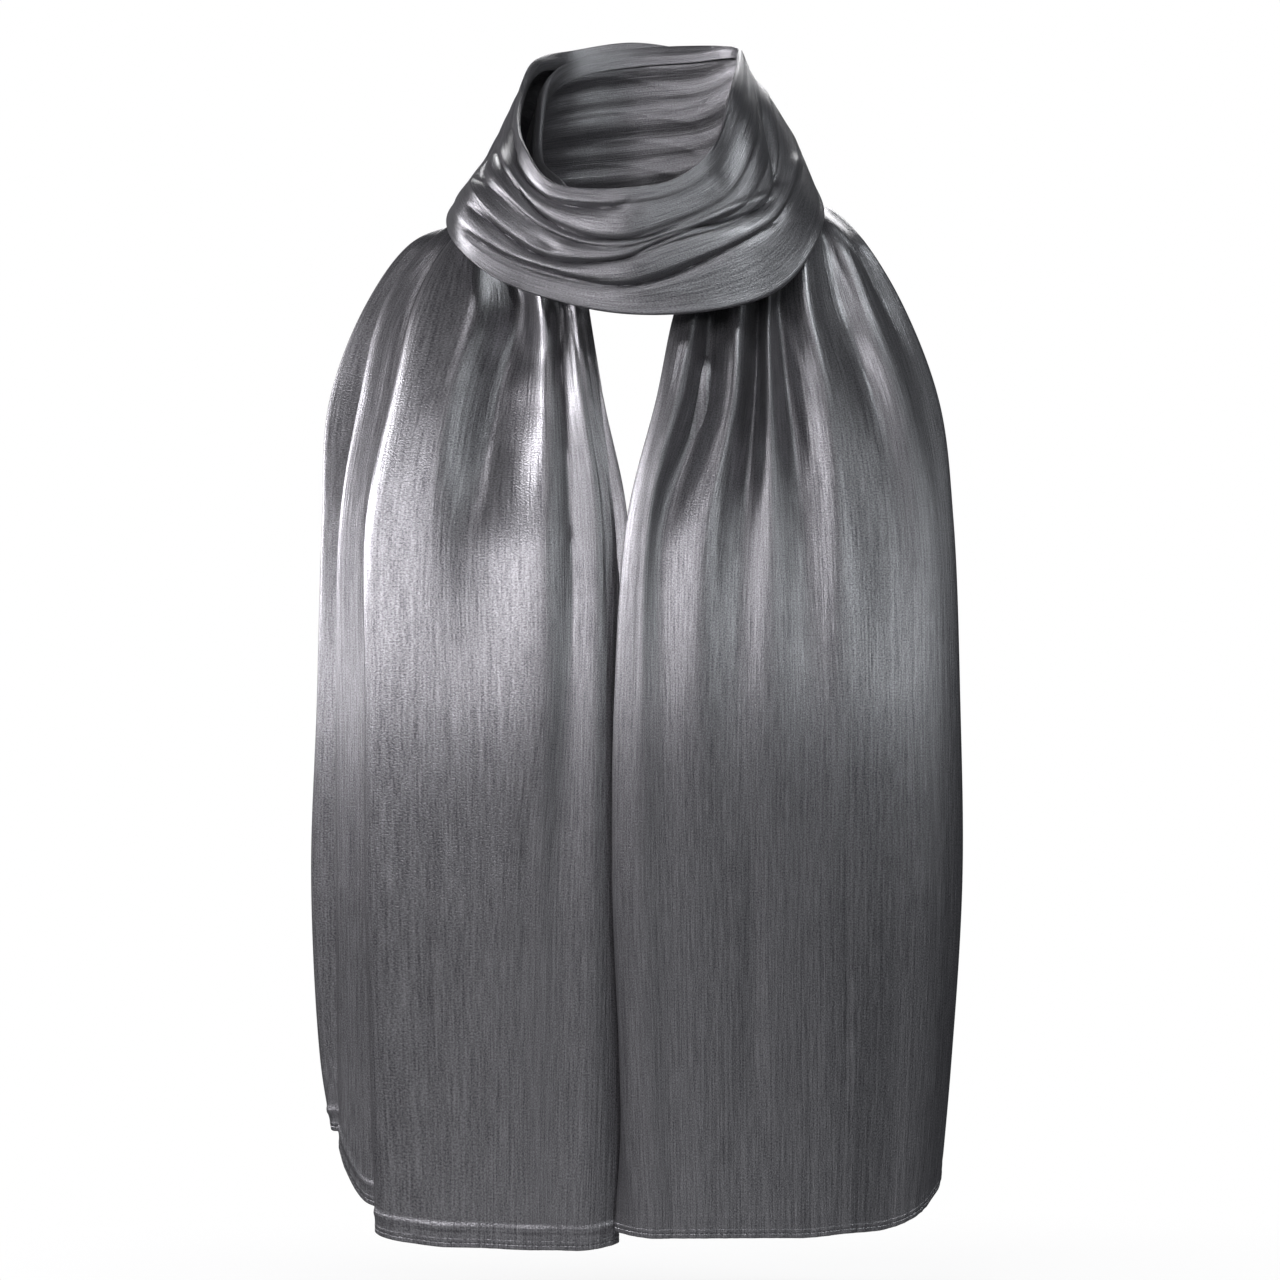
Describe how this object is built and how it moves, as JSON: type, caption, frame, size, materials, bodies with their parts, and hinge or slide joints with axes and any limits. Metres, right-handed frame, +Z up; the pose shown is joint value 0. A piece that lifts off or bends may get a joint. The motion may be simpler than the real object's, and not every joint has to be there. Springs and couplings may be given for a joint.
{
  "type": "worn hijab scarf",
  "caption": "Crinkled satin hijab worn loosely round the neck, with a softly folded cowl across the front and long gathered tails hanging side by side to the hips.",
  "frame": {"origin": "middle of the neck opening at the height where the shoulders carry the scarf", "axes": "+Z up, the wearer's front faces -Y, +X to the right in the front view"},
  "size_m": [0.36, 0.2332, 0.6753],
  "materials": {
    "satin": "charcoal crinkled satin with a soft sheen"
  },
  "bodies": {
    "root": {"left_tail": "satin", "nape_under": "satin", "neck_swag": "satin", "nape_over": "satin", "right_tail": "satin"}
  },
  "joints": []
}
